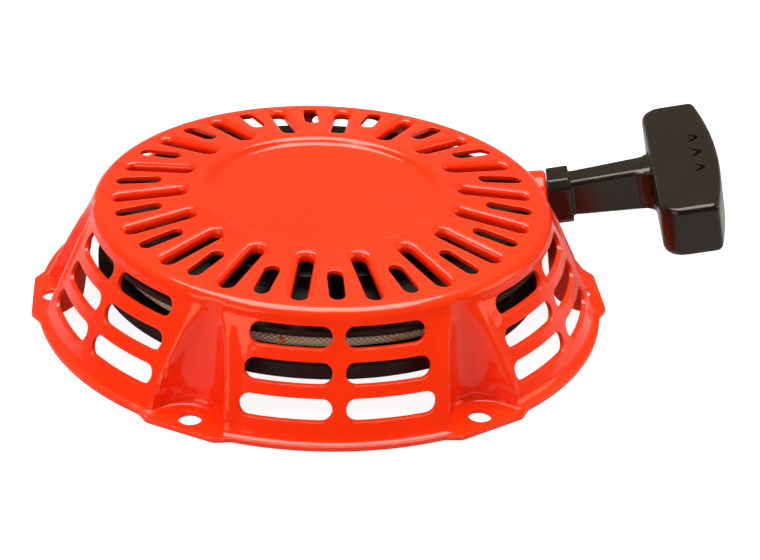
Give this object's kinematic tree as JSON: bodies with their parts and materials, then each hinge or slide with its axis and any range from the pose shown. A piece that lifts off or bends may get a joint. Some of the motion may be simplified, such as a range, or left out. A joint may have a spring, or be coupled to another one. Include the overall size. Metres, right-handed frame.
{
  "type": "recoil starter",
  "caption": "Recoil starter: slotted stamped steel cover with bolt ears, rope reel with recoil spring, driving pawls with their guide, and a T pull handle on a rope.",
  "frame": {"origin": "centre of the bolt circle, on the cover's seating face", "axes": "+Z along the reel's axis, out through the cover's top; +X is the direction in which the rope is pulled, seen from above"},
  "size_m": [0.2399, 0.194, 0.0444],
  "materials": {
    "cover_paint": "gloss",
    "steel": "satin",
    "guide_plastic": "satin",
    "reel_plastic": "satin",
    "bronze": "satin",
    "spring_steel": "satin",
    "rope": "matte",
    "handle_plastic": "satin",
    "pawl_steel": "satin",
    "zinc_steel": "satin"
  },
  "bodies": {
    "cover": {"housing": "cover_paint", "center_post": "steel", "rope_guide": "guide_plastic", "rope_lead": "rope", "thrust_washer": "zinc_steel", "reel_washer": "zinc_steel", "spring_seat": "zinc_steel", "friction_spring": "spring_steel", "center_screw": "zinc_steel"},
    "reel": {"reel": "reel_plastic", "reel_bushing": "bronze", "recoil_spring": "spring_steel", "rope_coil": "rope", "reel_knot": "rope", "pawl_spring_a": "spring_steel", "pawl_spring_b": "spring_steel"},
    "handle": {"handle": "handle_plastic", "knot_washer": "steel", "handle_knot": "rope", "rope_run": "rope"},
    "guide": {"ratchet_guide": "zinc_steel"},
    "pawl_a": {"pawl_a": "pawl_steel"},
    "pawl_b": {"pawl_b": "pawl_steel"}
  },
  "joints": [
    {"name": "reel_spin", "type": "hinge", "parent": "cover", "child": "reel", "pos_m": [0, 0, 0], "axis": [0, 0, -1], "range_deg": [0, 900], "stiffness_Nm_per_rad": 0.03, "springref_deg": -859.44, "deforming": ["recoil_spring", "rope_coil"]},
    {"name": "handle_pull", "type": "slide", "parent": "cover", "child": "handle", "axis": [0.9763, 0, 0.2164], "range_m": [0, 0.985], "deforming": ["rope_run"]},
    {"name": "guide_lag", "type": "hinge", "parent": "reel", "child": "guide", "pos_m": [0, 0, 0], "axis": [0, 0, 1], "range_deg": [0, 30], "stiffness_Nm_per_rad": 0.01, "springref_deg": -22.92},
    {"name": "pawl_a_swing", "type": "hinge", "parent": "reel", "child": "pawl_a", "pos_m": [0.019, 0, 0], "axis": [0, 0, 1], "range_deg": [0, 28.5], "deforming": ["pawl_spring_a"]},
    {"name": "pawl_b_swing", "type": "hinge", "parent": "reel", "child": "pawl_b", "pos_m": [-0.019, 0, 0], "axis": [0, 0, 1], "range_deg": [0, 28.5], "deforming": ["pawl_spring_b"]}
  ],
  "couplings": [
    {"joint": "handle_pull", "follows": "reel_spin", "m_per_rad": 0.0625},
    {"joint": "pawl_a_swing", "follows": "guide_lag", "ratio": 0.93333},
    {"joint": "pawl_b_swing", "follows": "guide_lag", "ratio": 0.93333}
  ]
}
